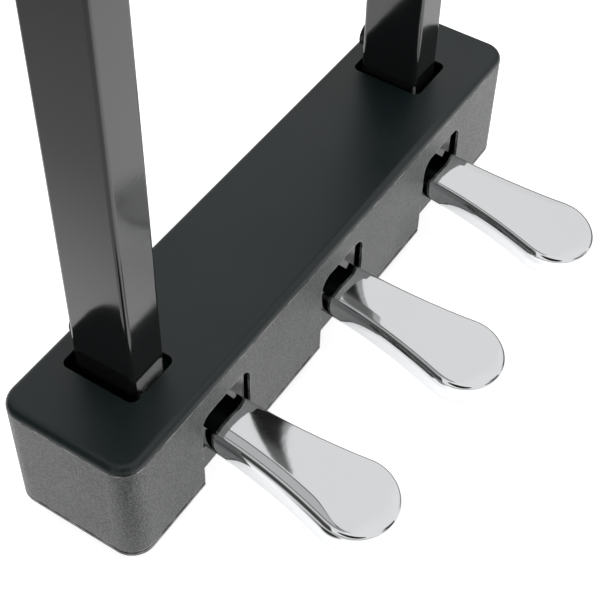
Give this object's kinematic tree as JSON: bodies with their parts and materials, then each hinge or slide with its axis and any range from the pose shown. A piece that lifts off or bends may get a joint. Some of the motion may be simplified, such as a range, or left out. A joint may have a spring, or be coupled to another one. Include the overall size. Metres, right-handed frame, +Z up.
{
  "type": "piano pedal unit",
  "caption": "Floor-standing pedal unit: sprung chrome pedals hinged in a low dark steel housing that carries rectangular uprights for fixing under a keyboard.",
  "frame": {"origin": "on the floor, in the middle of the bounding box", "axes": "+X to the player's right, +Y away from the player, +Z up"},
  "size_m": [0.304, 0.1508, 0.62],
  "materials": {
    "textured_steel": "fine-texture powder coat, satin",
    "cover_plastic": "fine-grained moulded cover, satin",
    "gloss_paint": "smooth black enamel, glossy",
    "pedal_chrome": "polished chrome plate",
    "bracket_steel": "zinc-coated pressed steel, satin",
    "bare_steel": "ground steel",
    "zinc_steel": "bright zinc plate",
    "spring_steel": "drawn spring wire",
    "black_screws": "black oxide",
    "black_plastic": "moulded, fine grain",
    "ivory_nylon": "natural nylon",
    "board_laminate": "solder-masked board",
    "wire_cover": "wire insulation",
    "brass": "turned brass",
    "rubber": "moulded rubber, matt",
    "foam": "closed-cell foam strip",
    "felt": "pressed wool felt"
  },
  "bodies": {
    "housing": {"top_cover": "cover_plastic", "wall_shell": "textured_steel", "base_tray": "textured_steel", "base_gasket": "foam", "rubber_feet": "rubber", "base_screws": "zinc_steel", "cover_screws": "black_screws", "foot_screws": "zinc_steel", "bracket_screws": "zinc_steel", "left_upright": "gloss_paint", "right_upright": "gloss_paint", "left_end_cap": "black_plastic", "right_end_cap": "black_plastic", "left_spigot": "zinc_steel", "right_spigot": "zinc_steel", "spigot_screws": "zinc_steel", "upright_bolts": "black_screws", "pin_clips": "zinc_steel", "sensor_board": "board_laminate", "photo_sensors": "black_plastic", "board_spacers": "brass", "board_screws": "zinc_steel", "board_connector": "ivory_nylon", "wiring_loom": "wire_cover", "rear_socket": "black_plastic", "socket_screws": "black_screws", "left_bracket": "bracket_steel", "left_pivot_pin": "bare_steel", "left_return_spring": "spring_steel", "left_up_stop": "felt", "left_down_stop": "rubber", "middle_bracket": "bracket_steel", "middle_pivot_pin": "bare_steel", "middle_return_spring": "spring_steel", "middle_up_stop": "felt", "middle_down_stop": "rubber", "right_bracket": "bracket_steel", "right_pivot_pin": "bare_steel", "right_return_spring": "spring_steel", "right_up_stop": "felt", "right_down_stop": "rubber"},
    "left_pedal_lever": {"left_pedal": "pedal_chrome", "left_lever": "bare_steel", "left_pedal_screws": "zinc_steel", "left_bushes": "ivory_nylon", "left_spring_seat": "ivory_nylon", "left_shutter": "black_plastic"},
    "middle_pedal_lever": {"middle_pedal": "pedal_chrome", "middle_lever": "bare_steel", "middle_pedal_screws": "zinc_steel", "middle_bushes": "ivory_nylon", "middle_spring_seat": "ivory_nylon", "middle_shutter": "black_plastic"},
    "right_pedal_lever": {"right_pedal": "pedal_chrome", "right_lever": "bare_steel", "right_pedal_screws": "zinc_steel", "right_bushes": "ivory_nylon", "right_spring_seat": "ivory_nylon", "right_shutter": "black_plastic"}
  },
  "joints": [
    {"name": "left_pedal_hinge", "type": "hinge", "parent": "housing", "child": "left_pedal_lever", "pos_m": [-0.089, 0.0551, 0.043], "axis": [1, 0, 0], "range_deg": [0, 6], "stiffness_Nm_per_rad": 6, "springref_deg": -10, "deforming": ["left_return_spring"]},
    {"name": "middle_pedal_hinge", "type": "hinge", "parent": "housing", "child": "middle_pedal_lever", "pos_m": [0, 0.0551, 0.043], "axis": [1, 0, 0], "range_deg": [0, 6], "stiffness_Nm_per_rad": 6, "springref_deg": -10, "deforming": ["middle_return_spring"]},
    {"name": "right_pedal_hinge", "type": "hinge", "parent": "housing", "child": "right_pedal_lever", "pos_m": [0.089, 0.0551, 0.043], "axis": [1, 0, 0], "range_deg": [0, 6], "stiffness_Nm_per_rad": 6, "springref_deg": -10, "deforming": ["right_return_spring"]}
  ]
}
